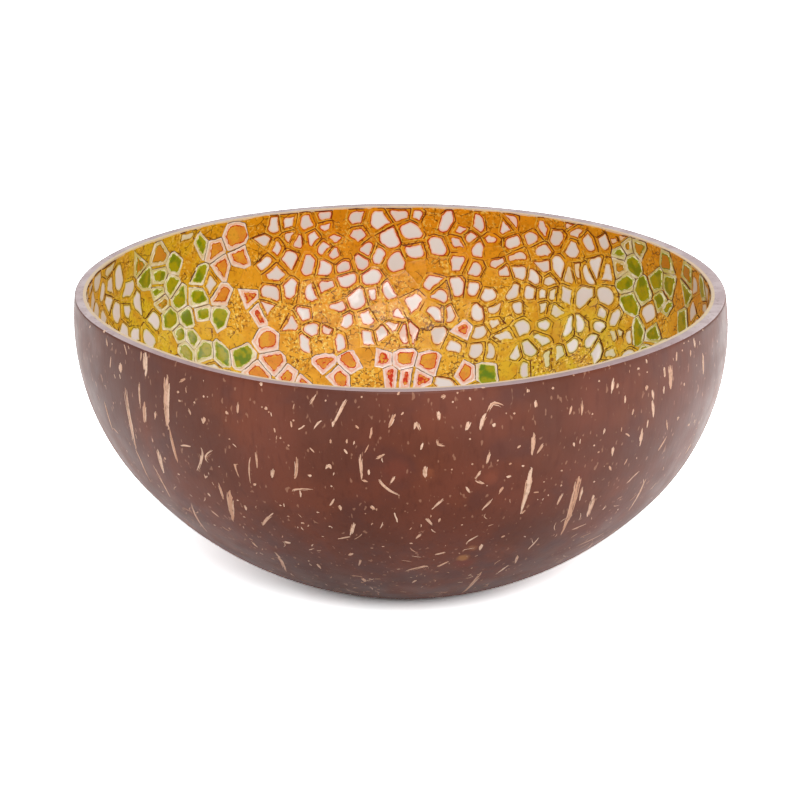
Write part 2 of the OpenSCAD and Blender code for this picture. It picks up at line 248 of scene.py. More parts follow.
class BowlProfile:
    """Half profile of a bowl: a bottom arc centred on the axis runs smoothly into a side arc."""

    def __init__(self, side_radius, side_offset, pole_height):
        self.side_radius = side_radius
        self.side_offset = side_offset
        rise = WIDEST_HEIGHT - side_radius - pole_height
        gain = (rise**2 + side_offset**2) / (2 * rise)
        self.bottom_radius = side_radius + gain
        self.bottom_height = pole_height + self.bottom_radius
        self.meet = math.atan2(WIDEST_HEIGHT - self.bottom_height, side_offset)
        self.meet_height = WIDEST_HEIGHT + side_radius * math.sin(self.meet)

    def inset(self, depth):
        """The same profile drawn in by a depth."""
        return BowlProfile(
            self.side_radius - depth, self.side_offset, self.bottom_height - self.bottom_radius + depth
        )

    def slope(self, height):
        """Angle of the outward normal above the level, at a height."""
        if height > self.meet_height:
            return math.asin((height - WIDEST_HEIGHT) / self.side_radius)
        return math.asin(max(-1, (height - self.bottom_height) / self.bottom_radius))

    def radius(self, height):
        """Radius at a height."""
        if height > self.meet_height:
            return self.side_offset + self.side_radius * math.cos(self.slope(height))
        return self.bottom_radius * math.cos(self.slope(height))

    def points(self, low, high, steps):
        """Points on the profile from a low to a high level, evenly spread over its slope."""
        start, end = self.slope(low), self.slope(high)
        made = []
        for step in range(steps + 1):
            angle = start + (end - start) * step / steps
            if angle > self.meet:
                made.append((
                    self.side_offset + self.side_radius * math.cos(angle),
                    WIDEST_HEIGHT + self.side_radius * math.sin(angle),
                ))
            else:
                made.append((
                    self.bottom_radius * math.cos(angle),
                    self.bottom_height + self.bottom_radius * math.sin(angle),
                ))
        return made


shell_side = WIDEST_HEIGHT + SANDED_DEPTH - BELLY_RISE
outside = BowlProfile(shell_side, WIDEST_RADIUS - shell_side, -SANDED_DEPTH)
cavity = BowlProfile(
    shell_side - WALL_SIDE - WALL_SWELL, WIDEST_RADIUS - shell_side + WALL_SWELL, WALL_FOOT
)

# The nut isn't quite round about the bowl's axis: it leans, so the belly sits off centre below, its
# wall is thinner at the front, and the sawn mouth is a little wavy. A wave is its bearing, its width
# in degrees and its rise.
NUT_LEAN = math.radians(3.46)
CAVITY_SHIFT = Vector((-0.00046, -0.0005, 0))
RIM_WAVES = ((215, 28, 0.0009), (262, 34, -0.0007), (322, 26, 0.0005))
WAVE_FADE = 6


def rim_wave(bearing):
    """How far the rim rises above its level at a bearing in degrees."""
    total = 0
    for middle, width, rise in RIM_WAVES:
        away = (bearing - middle + 180) % 360 - 180
        total += rise * math.exp(-((away / width) ** 2))
    return total


def wave_point(point):
    """Raises a point with the rim's waves, which fade out below it."""
    bearing = math.degrees(math.atan2(point.y, point.x)) % 360
    return rim_wave(bearing) * max(0, point.z / RIM_HEIGHT) ** WAVE_FADE


def lean_shift(height):
    """Sideways shift of the outside at a height: nothing at the widest level, most on the belly."""
    centre_gap = outside.bottom_height - WIDEST_HEIGHT
    full = NUT_LEAN * centre_gap
    if height <= outside.meet_height:
        return full
    return full - NUT_LEAN * (centre_gap + outside.side_offset * math.tan(outside.slope(height)))


def natural_outside(point):
    """A point of the round shell's outside, moved to the real nut's shape."""
    return Vector((point.x + lean_shift(point.z), point.y, point.z + wave_point(point)))


def natural_inside(point):
    """A point of the round cavity or of what lies on it, moved to the real nut's shape."""
    return point + CAVITY_SHIFT + Vector((0, 0, wave_point(point)))


def turned(profile_points):
    """A bmesh made by turning a profile, given as radius and height pairs, round the bowl's axis."""
    bm = bmesh.new()
    chain = [bm.verts.new((radius, 0, height)) for radius, height in profile_points]
    edges = [bm.edges.new(pair) for pair in zip(chain, chain[1:])]
    bmesh.ops.spin(
        bm, geom=chain + edges, axis=(0, 0, 1), cent=(0, 0, 0), steps=ROUND_STEPS,
        angle=2 * math.pi, use_merge=True
    )
    bmesh.ops.remove_doubles(bm, verts=bm.verts, dist=SAME_POINT)
    bmesh.ops.recalc_face_normals(bm, faces=bm.faces)
    return bm


def ring_edges(bm, radius, height):
    """The edges of a turned ring at a radius and height."""
    def on_ring(vert):
        return abs(vert.co.xy.length - radius) < ON_RING and abs(vert.co.z - height) < ON_RING
    return [edge for edge in bm.edges if on_ring(edge.verts[0]) and on_ring(edge.verts[1])]


def finish_mesh(bm, name, smooth_angle=math.radians(40)):
    """Turns a bmesh into a mesh, smooth but for its sharp edges."""
    mesh = bpy.data.meshes.new(name)
    for face in bm.faces:
        face.smooth = True
    bm.to_mesh(mesh)
    bm.free()
    mesh.set_sharp_from_angle(angle=smooth_angle)
    return mesh


OUTSIDE_ROWS = 64
CAVITY_ROWS = 24
RIM_ROUND = 0.0005
FOOT_ROUND = 0.0008
SAWN_BAND = 0.0001
rim_inner = cavity.radius(RIM_HEIGHT)

shell_bm = turned(
    [(0, 0)] + outside.points(0, RIM_HEIGHT, OUTSIDE_ROWS)
    + cavity.points(WALL_FOOT, RIM_HEIGHT, CAVITY_ROWS)[::-1]
)
for radius, height, offset, segments in (
    (outside.radius(RIM_HEIGHT), RIM_HEIGHT, RIM_ROUND, 4), (outside.radius(0), 0, FOOT_ROUND, 3)
):
    bmesh.ops.bevel(
        shell_bm, geom=ring_edges(shell_bm, radius, height), offset=offset, segments=segments, profile=0.5,
        affect="EDGES", material=-1
    )
for face in shell_bm.faces:
    middle = face.calc_center_median()
    face.material_index = 1 if middle.z > RIM_HEIGHT - SAWN_BAND else 0
for vert in shell_bm.verts:
    wall_middle = (outside.radius(vert.co.z) + cavity.radius(max(vert.co.z, WALL_FOOT))) / 2
    inner = vert.co.z > WALL_FOOT / 2 and vert.co.xy.length < wall_middle
    vert.co = natural_inside(vert.co) if inner else natural_outside(vert.co)
shell_mesh = finish_mesh(shell_bm, "polished_shell", math.radians(60))
shell_surface = BVHTree.FromPolygons(
    [vert.co for vert in shell_mesh.vertices], [face.vertices for face in shell_mesh.polygons]
)


def paint(red, green, blue):
    """A colour as a screen shows it, from 0 to 255, turned into shader values."""
    def linear(value):
        share = value / 255
        return share / 12.92 if share <= 0.04045 else ((share + 0.055) / 1.055) ** 2.4
    return (linear(red), linear(green), linear(blue), 1)


def new_group(name, values, *results):
    """An empty node group that takes a place and values, given with their defaults, and its results."""
    group = bpy.data.node_groups.new(name, "ShaderNodeTree")
    group.interface.new_socket("Place", in_out="INPUT", socket_type="NodeSocketVector")
    for key, default in values.items():
        value = group.interface.new_socket(key, in_out="INPUT", socket_type="NodeSocketFloat")
        value.default_value = default
    for key in results:
        kind = "NodeSocketColor" if key == "Colour" else "NodeSocketFloat"
        group.interface.new_socket(key, in_out="OUTPUT", socket_type=kind)
    return group, add_node(group, "NodeGroupInput").outputs, add_node(group, "NodeGroupOutput").inputs


def place_group(tree, group, inputs):
    """Puts a node group into a material with its own values."""
    return add_node(tree, "ShaderNodeGroup", inputs, node_tree=group)


def mix_colour(tree, share, first, second):
    """Mixes two colours and returns the result's socket."""
    return add_node(tree, "ShaderNodeMix", {0: share, 6: first, 7: second}, data_type="RGBA").outputs[2]


def add_finish(tree, output, colour, roughness, specular, coat=0.0, coat_roughness=0.03, normal=None):
    """Gives a material its surface: a colour, its gloss, and a clear coat over it."""
    finish = add_node(tree, "ShaderNodeBsdfPrincipled", {
        "Base Color": colour, "Roughness": roughness, "Specular IOR Level": specular,
        "Coat Weight": coat, "Coat Roughness": coat_roughness,
    })
    if normal:
        tree.links.new(normal, finish.inputs["Normal"])
    tree.links.new(finish.outputs[0], output.inputs["Surface"])


def spread(tree, value, low, high):
    """Stretches a value so that low becomes 0 and high becomes 1, smoothly."""
    return ramp(tree, value, low, high, 0.0, 1.0, smooth=True)


def noise_value(tree, place, scale, detail):
    """Soft noise between 0 and 1."""
    return add_node(
        tree, "ShaderNodeTexNoise", {"Vector": place, "Scale": scale, "Detail": detail}
    ).outputs["Fac"]


def relief(tree, height, strength, distance):
    """A normal bent by small relief."""
    return add_node(
        tree, "ShaderNodeBump", {"Height": height, "Strength": strength, "Distance": distance}
    ).outputs[0]


# Mottling: soft patches of a given size that a finish is broken up with
mottle_group, given, result = new_group(
    "mottling", {"Size": 0.01, "Low": 0.4, "High": 0.6, "Detail": 3.0}, "Mask"
)
tree = mottle_group
mottle_scale = add_math(tree, "DIVIDE", 1.0, given["Size"])
mottle_noise = noise_value(tree, given["Place"], mottle_scale, given["Detail"])
tree.links.new(spread(tree, mottle_noise, given["Low"], given["High"]), result["Mask"])


def mottling(tree, place, size, low, high, detail=3.0):
    """A mask of soft patches."""
    return place_group(
        tree, mottle_group, {"Place": place, "Size": size, "Low": low, "High": high, "Detail": detail}
    ).outputs["Mask"]


def tinge(tree, colour, mask, strength, tone):
    """Lets a tone into a colour where a mask says, up to a strength."""
    return mix_colour(tree, times(tree, mask, strength), colour, tone)


def bent_place(tree, place, scale, reach):
    """A place shifted by noise, so that what is drawn with it wanders."""
    bend = add_node(tree, "ShaderNodeTexNoise", {"Vector": place, "Scale": scale, "Detail": 2.0})
    shift = vector_math(tree, "SCALE", {0: bend.outputs["Color"], "Scale": reach})
    return vector_math(tree, "ADD", {0: place, 1: shift})


def stretched(tree, place, share):
    """A place squeezed along the bowl's axis, so that what is drawn with it runs along the nut."""
    return add_node(tree, "ShaderNodeMapping", {"Vector": place, "Scale": (1, 1, share)}).outputs[0]


shell_material, tree, output, place = new_material("polished_coconut")
along_nut = stretched(tree, place, 0.22)
shell_colour = mix_colour(
    tree, mottling(tree, place, 0.022, 0.38, 0.62), paint(94, 48, 33), paint(110, 56, 39)
)
for stain_place, size, low, high, detail, strength, stain_tone in (
    (place, 0.013, 0.52, 0.7, 4.0, 0.35, paint(124, 64, 40)),
    (place, 0.01, 0.55, 0.72, 4.0, 0.5, paint(84, 46, 40)),
    (along_nut, 0.0011, 0.5, 0.75, 2.0, 0.3, paint(76, 32, 20)),
):
    stain_mask = mottling(tree, stain_place, size, low, high, detail)
    shell_colour = tinge(tree, shell_colour, stain_mask, strength, stain_tone)
low_down = spread(tree, axis_of(tree, place, "Z"), 0.036, 0.014)
low_down = times(tree, low_down, mottling(tree, place, 0.005, 0.4, 0.62, 5.0))
shell_colour = tinge(tree, shell_colour, low_down, 0.45, paint(88, 56, 54))

# A knot low on the front and the warm spots above it: pixels of the photograph, radius, strength, tone
SHELL_SPOTS = (
    (397, 470, 0.0034, 0.3, (134, 64, 44)), (427, 473, 0.0018, 0.45, (146, 80, 50)),
    (491, 478, 0.0022, 0.4, (140, 74, 52)), (463, 563, 0.0026, 0.8, (116, 50, 36)),
    (463, 558, 0.0017, 0.9, (164, 108, 62)), (473, 548, 0.0012, 0.7, (150, 96, 66)),
)
SPOT_SHIFT = Vector((0.0006, 0.0006, 0.0006))
spot_place = bent_place(tree, place, 600.0, 0.0012)
for x, y, radius, strength, spot_tone in SHELL_SPOTS:
    spot_middle = shell_surface.ray_cast(camera_place, pixel_ray(x, y))[0] + SPOT_SHIFT
    spot_away = vector_math(tree, "DISTANCE", {0: spot_place, 1: spot_middle}, "Value")
    spot_mask = spread(tree, spot_away, radius, radius * 0.35)
    shell_colour = tinge(tree, shell_colour, spot_mask, strength, paint(*spot_tone))
speck = mottling(tree, stretched(tree, place, 0.5), 0.0009, 0.67, 0.74, 1.0)
shell_colour = tinge(tree, shell_colour, speck, 0.4, paint(190, 140, 112))
shell_rough = plus(tree, 0.33, times(tree, mottling(tree, place, 0.006, 0.3, 0.7), 0.1))
shell_grain = relief(tree, mottling(tree, along_nut, 0.0007, 0.35, 0.7, 2.0), 0.08, 0.0001)
add_finish(tree, output, shell_colour, shell_rough, 0.2, normal=shell_grain)

rim_material, tree, output, place = new_material("sawn_rim")
rim_patch = mottling(tree, place, 0.004, 0.35, 0.65)
# Sawn rim: its own tone, made paler by a painted reflection of the white surroundings
rim_colour_and_reflection = mix_colour(tree, rim_patch, paint(200, 178, 179), paint(220, 202, 202))
# Painted shade: the rim darker towards the front
rim_front_shade = spread(tree, axis_of(tree, place, "Y"), -0.02, -0.055)
rim_colour_and_reflection = tinge(tree, rim_colour_and_reflection, rim_front_shade, 0.8, paint(166, 138, 138))
rim_pores = mottling(tree, place, 0.0008, 0.6, 0.72, 2.0)
rim_colour_and_reflection = tinge(tree, rim_colour_and_reflection, rim_pores, 0.5, paint(140, 100, 90))
add_finish(tree, output, rim_colour_and_reflection, 0.5, 0.35)

polished_shell = link_piece("polished_shell", shell_mesh, shell_material, rim_material)
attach(polished_shell, "root")
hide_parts("coconut_shell")

# Fibre flecks. Bundles of pale fibre run through the nut's shell, and sanding cuts them open, so they
# show flush in the polished outside as flecks, streaks and hooks, most of them along the nut.
FIBRE_SEED = 41
FIBRE_PROUD = 0.00003
SPINDLE_SIDES = 6
SPINDLE_RING = 0.0006
STRANDED_WIDTH = 0.00045
FLECK_SPREAD = 1.15
WIDEST_SLANT = 2.2
fibre_rng = random.Random(FIBRE_SEED)
fibre_verts, fibre_faces, fibre_tones = [], [], []


def carry(mesh, name, values):
    """Gives a mesh a value at each point."""
    mesh.attributes.new(name, "FLOAT", "POINT").data.foreach_set("value", values)


def read_value(tree, name, output_name="Fac"):
    """A value that the mesh carries at each point."""
    return add_node(tree, "ShaderNodeAttribute", attribute_name=name).outputs[output_name]


def add_spindle(path, width, tone):
    """A flattened spindle that lies in the shell's surface along a path of two or three points."""
    start, end = path[0], path[-1]
    bend = (path[1] - (start + end) / 2) if len(path) > 2 else Vector((0, 0, 0))
    length = (end - start).length
    rings = max(4, min(14, round(length / SPINDLE_RING)))
    ragged = fibre_rng.random() * 100
    along = (end - start).normalized()
    normal = shell_surface.find_nearest((start + end) / 2)[1]
    across = normal.cross(along).normalized()
    base = len(fibre_verts)
    for step in range(rings + 1):
        run = -math.cos(math.pi * step / rings)
        middle = (start + end) / 2 + (end - start) * run / 2 + bend * (1 - run * run)
        wide = width / 2 * math.sqrt(max(0, 1 - run * run))
        wide *= 1 + 0.6 * noise.noise(Vector((run * length * 1400, ragged, 0.7)))
        middle += across * width * 0.4 * noise.noise(Vector((run * length * 700, ragged, 3.3)))
        ends = step in (0, rings)
        for side in range(1 if ends else SPINDLE_SIDES):
            turn = 2 * math.pi * side / SPINDLE_SIDES
            nearest, out = shell_surface.find_nearest(middle + across * wide * math.cos(turn))[:2]
            fibre_verts.append(nearest + out * (math.sin(turn) * (0 if ends else FIBRE_PROUD)))
            fibre_tones.append(tone)
    last = len(fibre_verts) - 1
    for side in range(SPINDLE_SIDES):
        after = (side + 1) % SPINDLE_SIDES
        fibre_faces.append((base, base + 1 + side, base + 1 + after))
        fibre_faces.append((last, last - SPINDLE_SIDES + after, last - SPINDLE_SIDES + side))
        for step in range(rings - 2):
            low = base + 1 + step * SPINDLE_SIDES
            high = low + SPINDLE_SIDES
            fibre_faces.append((low + side, high + side, high + after, low + after))


def add_fleck(path, width):
    """A fleck of one strand, or of a few side by side where it is wide."""
    tone = fibre_rng.random()
    if width < STRANDED_WIDTH:
        add_spindle(path, width, tone)
        return
    start, end = path[0], path[-1]
    normal = shell_surface.find_nearest(start)[1]
    across = normal.cross((end - start).normalized()).normalized()
    add_spindle(path, width * 0.62, tone)
    for side in (-1, 1):
        low, high = 0.3 * fibre_rng.random(), 1 - 0.3 * fibre_rng.random()
        offset = across * side * width * (0.34 + 0.1 * fibre_rng.random())
        strand = [start.lerp(end, low) + offset, start.lerp(end, high) + offset * 0.6]
        if len(path) > 2:
            bend = path[1] - (start + end) / 2
            strand.insert(1, (strand[0] + strand[1]) / 2 + bend)
        add_spindle(strand, width * (0.2 + 0.15 * fibre_rng.random()), fibre_rng.random())


# Flecks read from the photograph: pixels of the start, any bend and the end, then the width
FLECKS_SEEN = (
    (90.5, 325.5, 89.5, 328, 1), (104, 330, 104.5, 333, 2.5), (106, 337.5, 107.5, 347, 1.3),
    (112, 343, 112, 345, 1), (127.5, 339.5, 127, 355, 1.7), (130, 342, 129, 349.5, 1),
    (148, 349.5, 145.5, 376.5, 5), (141.5, 350.5, 140.5, 361.5, 1.5), (111, 356, 110, 368, 1),
    (120.5, 362.5, 120.5, 373, 4), (114, 374, 115.5, 378.5, 1), (119.5, 374, 120.5, 379, 1),
    (139, 382, 140.5, 409, 1.7), (144.5, 401.5, 145, 423, 3), (155.5, 411, 155, 420, 1.7),
    (125, 387, 131.5, 428, 136, 450, 3), (136, 450, 143, 466, 151, 482.5, 1.3),
    (104.5, 401.5, 113, 430.5, 1.4), (167.5, 374.5, 168.5, 430, 5.5), (169.5, 428, 178, 463, 2.5),
    (179, 382.5, 185.5, 378, 2), (178, 393.5, 2.5), (179.5, 402, 2), (194.5, 403.5, 2), (203.5, 397.5, 2),
    (188, 408, 191, 415, 1.7), (203.5, 416.5, 203.5, 424, 3.5), (227, 414.5, 3),
    (238, 401.5, 237.5, 413.5, 2), (260.5, 382, 261.5, 386, 3), (200, 368, 4), (266, 410, 3),
    (262, 408, 1.5), (269, 413, 1.5), (291, 421, 291.5, 427.5, 2), (293.5, 421.5, 1.7),
    (298, 429.5, 305, 425.5, 1.7), (309.5, 404.5, 316, 394, 2.5), (325.5, 401.5, 1.7), (342, 388.5, 1.7),
    (361.5, 398, 1.7), (346, 399, 333.5, 425, 3), (333.5, 420.5, 332.5, 427, 2.5),
    (314, 429.5, 318, 423, 322.5, 421, 1.5), (355, 425.5, 359, 428.5, 2), (372, 427, 370, 439, 1.7),
    (397, 395, 400, 391.5, 1.5), (395, 413.5, 388.5, 428, 4), (113, 428, 118.5, 433.5, 1),
    (273.5, 428, 275.5, 432.5, 1.7), (280.5, 439, 1.7), (330.5, 439, 330.5, 443.5, 2),
    (346.5, 439, 346.5, 443.5, 1.7), (344, 449, 347.5, 454, 1.7), (288.5, 446.5, 1.7),
    (309.5, 447.5, 314.5, 452.5, 1.3), (369, 444.5, 364.5, 453, 1), (360.5, 454, 361.5, 480, 2.6),
    (361.5, 480, 368, 482, 1.7), (369.5, 469.5, 368.5, 475, 1.7), (375.5, 459, 385, 454, 2.6),
    (329, 464, 325.5, 469, 2.5), (329, 464, 331.5, 469, 2.5), (308, 476, 311.5, 475, 3),
    (296.5, 456.5, 296, 471.5, 294.5, 479, 2.6), (273.5, 468.5, 271.5, 478, 3),
    (256, 452, 257.5, 468.5, 1.7), (250.5, 457, 249, 469.5, 250.5, 483.5, 1),
    (253.5, 485.5, 256, 483.5, 2), (239, 465, 235, 466, 239.5, 478, 1.5), (229.5, 440, 1.7),
    (232.5, 443.5, 236.5, 447.5, 1), (180.5, 445.5, 191, 446.5, 1.2),
    (201, 447.5, 202, 456.5, 197.5, 471, 2.2), (213, 450, 205.5, 457, 209, 463, 1.7),
    (152, 438, 153, 442.5, 1), (157.5, 449, 161, 463, 164, 473.5, 3), (164, 457.5, 166, 459.5, 2),
    (153, 465, 162, 481.5, 170.5, 497.5, 1.3), (204, 474, 205.5, 477.5, 208, 476, 2), (179, 475, 1.7),
    (207.5, 493, 210.5, 496.5, 1.7), (218.5, 482.5, 221.5, 493, 223.5, 499.5, 1.7),
    (230, 490, 233.5, 521.5, 4.3), (238, 501, 1.7), (244.5, 505, 246.5, 510.5, 1.7),
    (191, 503, 199, 521.5, 207.5, 532, 1.5), (210.5, 510, 219.5, 517.5, 1.3), (215, 525.5, 1.7),
    (244.5, 517.5, 1.7), (273.5, 513, 268, 518, 262.5, 525.5, 1.7), (288.5, 517, 1.7), (280.5, 506, 1.7),
    (292, 492, 297.5, 489, 313.5, 489.5, 1.7), (300, 490, 301, 497.5, 1.3), (332, 487, 1.7),
    (378.5, 479, 387.5, 489, 400, 495.5, 2.2), (395, 476, 390.5, 483.5, 2.2),
    (334.5, 498.5, 330, 506, 1.3), (339.5, 505, 341, 510.5, 2.6), (318, 513, 1.7), (303, 524, 2.6),
    (370, 506, 375.5, 509.5, 3), (394, 512.5, 398, 522.5, 1.5), (382.5, 525.5, 1.7), (323, 537, 1.7),
    (330, 527, 1.7), (354, 522.5, 350.5, 535.5, 2.6), (350.5, 536.5, 337.5, 539, 1.3),
    (283.5, 542, 291, 543, 2.2), (251, 541, 257.5, 547.5, 1.5),
    (274.5, 552, 281, 560.5, 286.5, 571.5, 2.2), (317, 563.5, 321, 569, 1.3), (372, 548.5, 1.7),
    (383, 547, 1.7), (352.5, 553, 348.5, 555.5, 1.7), (360.5, 559.5, 359, 566, 1.3),
    (362.5, 578, 365.5, 582, 2.2), (370, 579, 1.5), (397, 585.5, 1.5), (378.5, 589.5, 1.5),
    (403.5, 412, 401, 415, 1.7), (416.5, 421.5, 414, 429.5, 3), (416.5, 421.5, 420, 430.5, 3),
    (438.5, 411, 439, 420.5, 3.5), (469.5, 421.5, 465.5, 430.5, 3.9),
    (504, 405.5, 493, 403.5, 486.5, 413, 3.8), (486.5, 413, 482.5, 421, 480.5, 430.5, 4),
    (494.5, 423, 493.5, 427, 3.5), (453, 403, 1.7), (514.5, 414.5, 1.7),
    (437, 439, 438.5, 444.5, 445.5, 446, 3), (423, 442.5, 420.5, 450, 1.7), (470, 440, 1.7),
    (490, 451.5, 486.5, 464, 2.6), (520.5, 445, 517, 448, 1.7), (534, 432, 532, 455.5, 3.9),
    (543.5, 443, 537, 454, 2.6), (535.5, 400, 536, 407.5, 3), (523.5, 465, 522.5, 467, 2.6),
    (531, 467, 528, 486.5, 520.5, 514, 4.3), (520.5, 514, 525.5, 510, 2), (511.5, 463, 509.5, 465, 1.7),
    (497.5, 461.5, 1.7), (506, 477, 511.5, 476, 2.2), (472.5, 465, 1.7), (481.5, 470.5, 475, 479, 2.2),
    (475, 480.5, 484.5, 484, 2.2), (466, 486.5, 469.5, 493, 1.7), (451.5, 470.5, 1.7),
    (425, 466, 425, 478, 3.9), (503, 486.5, 498.5, 494.5, 2.2), (493, 498.5, 481.5, 510.5, 2),
    (443.5, 498.5, 431.5, 509.5, 2.2), (426, 518, 432.5, 525.5, 2.2), (440, 518, 439, 522.5, 1.7),
    (462, 525.5, 1.7), (421.5, 533.5, 415.5, 539, 1.7), (411, 544, 2.2),
    (428, 569, 424, 566, 404.5, 571.5, 2), (416.5, 580, 412, 583, 1.5), (434.5, 555, 445.5, 552, 1.5),
    (437, 567, 449, 561, 1.5), (482.5, 571.5, 471.5, 584.5, 462, 593, 2), (481.5, 544, 480, 550.5, 2.2),
    (478, 535.5, 467, 542, 1.3), (501, 537.5, 505, 535.5, 1.3), (518, 555, 515, 563.5, 1.7),
    (508.5, 565, 495.5, 574.5, 1), (539, 537.5, 528, 549.5, 0.9),
    (579, 476, 573.5, 502, 560.5, 535.5, 3.9), (583, 486.5, 579, 501, 2.2), (594, 494.5, 587, 517, 3.5),
    (561.5, 484.5, 560.5, 486.5, 1.5), (562.5, 493, 557, 505, 1.7), (586.5, 523.5, 571.5, 530, 1),
    (646, 478.5, 628, 511.5, 1.7), (642.5, 428, 639.5, 446.5, 3), (648, 419.5, 647, 428, 1.5),
    (652.5, 400, 653.5, 417.5, 2.6), (634, 408.5, 632, 415, 1.5), (666.5, 419.5, 667.5, 430.5, 1.3),
    (667, 436, 658, 451, 1.3), (678.5, 416.5, 677.5, 420.5, 2.2), (688.5, 426, 2.2),
    (691.5, 443.5, 685, 454, 1.3), (613.5, 446.5, 612, 456.5, 2.2), (605, 428, 603.5, 434.5, 1.7),
    (594, 446.5, 1.7), (598.5, 453, 1.7), (573.5, 442.5, 574.5, 446.5, 2.2),
    (571.5, 405.5, 569.5, 415, 2.2), (582, 400, 582, 416, 2.2), (592.5, 415, 1.7),
    (625.5, 433.5, 630, 436, 1.3), (627.5, 458.5, 624.5, 465, 1.3), (639.5, 470.5, 626.5, 483.5, 1),
    (609, 466, 611.5, 470.5, 1.3), (561.5, 471.5, 1.7), (594, 482.5, 1.7), (539, 492, 533.5, 493, 1.3),
    (544, 482.5, 1.3), (601.5, 534.5, 578, 545.5, 0.9), (593, 543, 580, 554, 0.9), (609, 366.5, 1.7),
    (599.5, 382, 1.7), (613.5, 377.5, 611.5, 394, 3), (618, 383, 617, 388.5, 2.2),
    (625.5, 395, 625, 403.5, 1.7), (638.5, 370, 2.2), (646, 359, 647, 363.5, 1.3), (647, 373, 1.3),
    (646.5, 385, 647, 390.5, 3), (652.5, 389.5, 653.5, 400, 2.2), (664, 366.5, 665, 377.5, 2.2),
    (670, 364.5, 670.5, 389.5, 4.3), (664, 386, 663.5, 394, 1.7), (676.5, 351.5, 676.5, 361.5, 1.7),
    (682, 349.5, 682.5, 351.5, 1.3), (684, 344, 1.3), (688.5, 342, 1.3), (694, 337.5, 695, 348.5, 1.7),
    (690.5, 349.5, 690.5, 357, 1.3), (702.5, 329, 703, 331, 1.3), (702.5, 352.5, 703.5, 374.5, 2.2),
    (684, 383, 684.5, 386, 1.3), (574, 376, 1.7), (528, 392.5, 3), (553, 389.5, 2.2), (483.5, 388.5, 3.5),
    (469.5, 397, 470.5, 400.5, 1.3), (457.5, 394, 1.7), (441, 398, 445.5, 395, 3.5),
)
for fleck in FLECKS_SEEN:
    path, slants = [], 1
    for x, y in zip(fleck[:-1:2], fleck[1:-1:2]):
        ray = pixel_ray(x, y)
        hit, normal = shell_surface.ray_cast(camera_place, ray)[:2]
        if hit is not None:
            path.append(hit)
            slants = min(WIDEST_SLANT, 1 / abs(normal.dot(ray)))
    if path:
        width = fleck[-1] * FLECK_SPREAD * (path[0] - camera_place).length / FOCAL_PIXELS
        if len(path) == 1:
            path.append(path[0] + Vector((0, 0, 1.1 * width)))
        add_fleck(path, width * (1 + (slants - 1) * 0.6))

# The rest of the shell has flecks like those in view, long upright ones above and short hooks below
LOOSE_FLECKS = 520
LONG_ONES = 0.1
SCRATCHES = 600
SPECKS = 400
for index in range(LOOSE_FLECKS + SCRATCHES + SPECKS):
    fleck = index < LOOSE_FLECKS
    height = 0.0015 + (RIM_HEIGHT - 0.003) * fibre_rng.random() ** (1 if fleck else 2.2)
    low_share = 1 - height / RIM_HEIGHT
    bearing = math.pi * fibre_rng.random() if fleck else 2 * math.pi * fibre_rng.random()
    length = 0.0009 + 0.0022 * fibre_rng.random() ** 2
    if fibre_rng.random() < LONG_ONES:
        length = 0.004 + 0.007 * fibre_rng.random()
    width = 0.00024 + 0.00022 * fibre_rng.random() + 0.04 * length
    if not fleck:
        length = 0.0003 + 0.0009 * fibre_rng.random() ** 1.5
        width = 0.00014 + 0.00012 * fibre_rng.random()
        if index < LOOSE_FLECKS + SCRATCHES:
            height = 0.0012 + 0.032 * fibre_rng.random() ** 1.3
            low_share = 1
            length = 0.0007 + 0.0024 * fibre_rng.random() ** 2
            width = 0.00014 + 0.00008 * fibre_rng.random()
    radius = outside.radius(height)
    centre = natural_outside(Vector((radius * math.cos(bearing), radius * math.sin(bearing), height)))
    normal = shell_surface.find_nearest(centre)[1]
    level = Vector((0, 0, 1)).cross(normal).normalized()
    turn = fibre_rng.gauss(0, 0.2 + 1.1 * low_share**2)
    way = normal.cross(level).normalized() * math.cos(turn) + level * math.sin(turn)
    bend = level * length * 0.18 * fibre_rng.gauss(0, 1) * low_share
    add_fleck([centre - way * length / 2, centre + bend, centre + way * length / 2], width)

fibre_mesh = bpy.data.meshes.new("fibre_flecks")
fibre_mesh.from_pydata(fibre_verts, [], fibre_faces)
carry(fibre_mesh, "tone", fibre_tones)

fibre_material, tree, output, place = new_material("pale_fibre")
fibre_colour = mix_colour(tree, read_value(tree, "tone"), paint(232, 196, 170), paint(200, 148, 118))
fibre_stain = mottling(tree, place, 0.0009, 0.5, 0.66, 2.0)
fibre_colour = tinge(tree, fibre_colour, fibre_stain, 0.4, paint(150, 104, 74))
add_finish(tree, output, fibre_colour, 0.45, 0.3)
fibre_flecks = link_piece("fibre_flecks", fibre_mesh, fibre_material)
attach(fibre_flecks, "root")

# Ground lacquer. A dark brown coat that levels the fibrous inside of the shell before the gold. It
# stops short of the rim, where the gold laps over it.
GROUND_THICKNESS = 0.0003
LAP_HEIGHT = RIM_HEIGHT - 0.0004
GOLD_THICKNESS = 0.0002
SKIN_ROWS = 56


def lining(name, outer_inset, inner_inset, material, node_name, top=RIM_HEIGHT, lap=None):
    """A skin that lines the cavity between two depths, with a level top or a lap over the skin below it."""
    outer, inner = cavity.inset(outer_inset), cavity.inset(inner_inset)
    over = [(cavity.radius(lap), lap), (rim_inner, RIM_HEIGHT)] if lap else []
    bm = turned(
        outer.points(WALL_FOOT + outer_inset, lap or top, SKIN_ROWS) + over
        + inner.points(WALL_FOOT + inner_inset, top, SKIN_ROWS)[::-1]
    )
    for vert in bm.verts:
        vert.co = natural_inside(vert.co)
    piece = link_piece(name, finish_mesh(bm, name), material)
    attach(piece, "root")
    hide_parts(node_name)
    return piece.data


